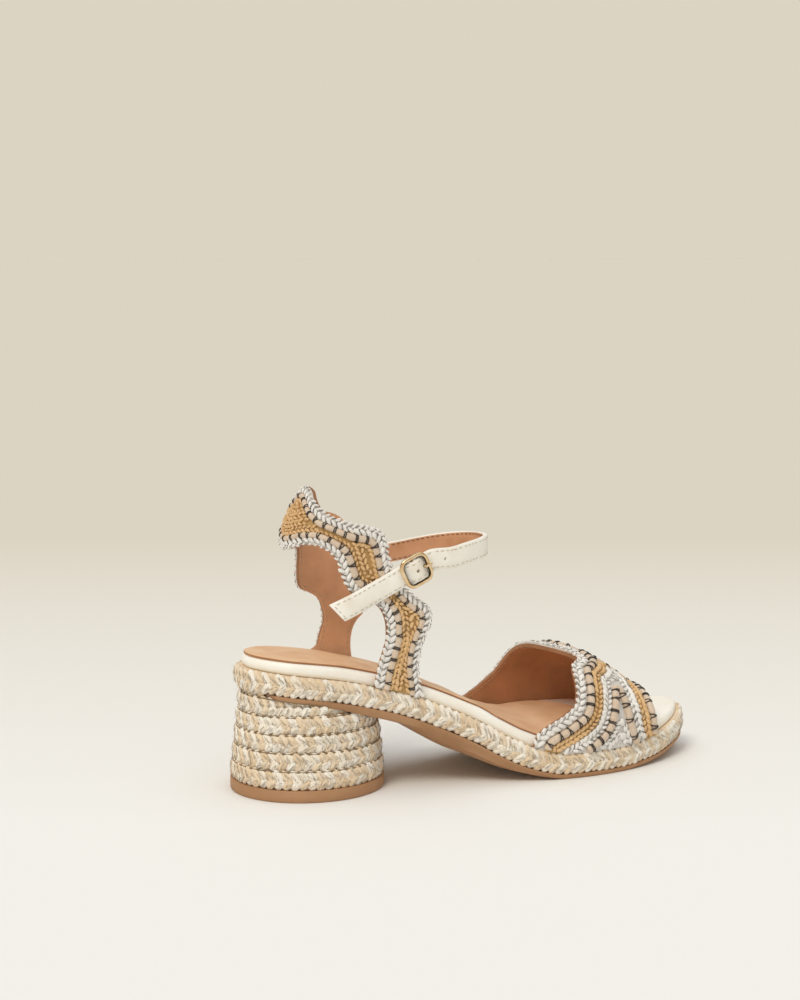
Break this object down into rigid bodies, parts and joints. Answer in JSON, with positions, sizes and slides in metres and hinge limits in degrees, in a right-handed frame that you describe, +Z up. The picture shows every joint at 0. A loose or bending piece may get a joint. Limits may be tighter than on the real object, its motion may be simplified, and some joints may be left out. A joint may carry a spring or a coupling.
{
  "type": "low heel sandal",
  "caption": "Right low heel sandal with a jute wound block heel, a crochet vamp and heel band, and a buckled ankle strap.",
  "frame": {"origin": "on the floor under the middle of the sandal's box", "axes": "+X from heel to toe, +Y to the inner side of the foot, +Z up"},
  "size_m": [0.2434, 0.0838, 0.1444],
  "materials": {
    "top_piece": "smooth tan rubber",
    "outsole": "smooth tan rubber",
    "jute": "natural and ivory jute braid, matt and fibrous",
    "cream_leather": "smooth cream leather, slight sheen",
    "tan_leather": "smooth tan leather",
    "crochet": "white and camel crochet with wrapped piping, tan leather lining",
    "gold_metal": "polished gold"
  },
  "bodies": {
    "root": {"heel_top_piece": "top_piece", "heel_block": "jute", "outsole": "outsole", "jute_edge_band": "jute", "footbed": "cream_leather", "sock": "tan_leather", "vamp": "crochet", "heel_band": "crochet", "ankle_strap": "cream_leather", "buckle_frame": "gold_metal", "buckle_prong": "gold_metal", "buckle_tab": "cream_leather"}
  },
  "joints": []
}
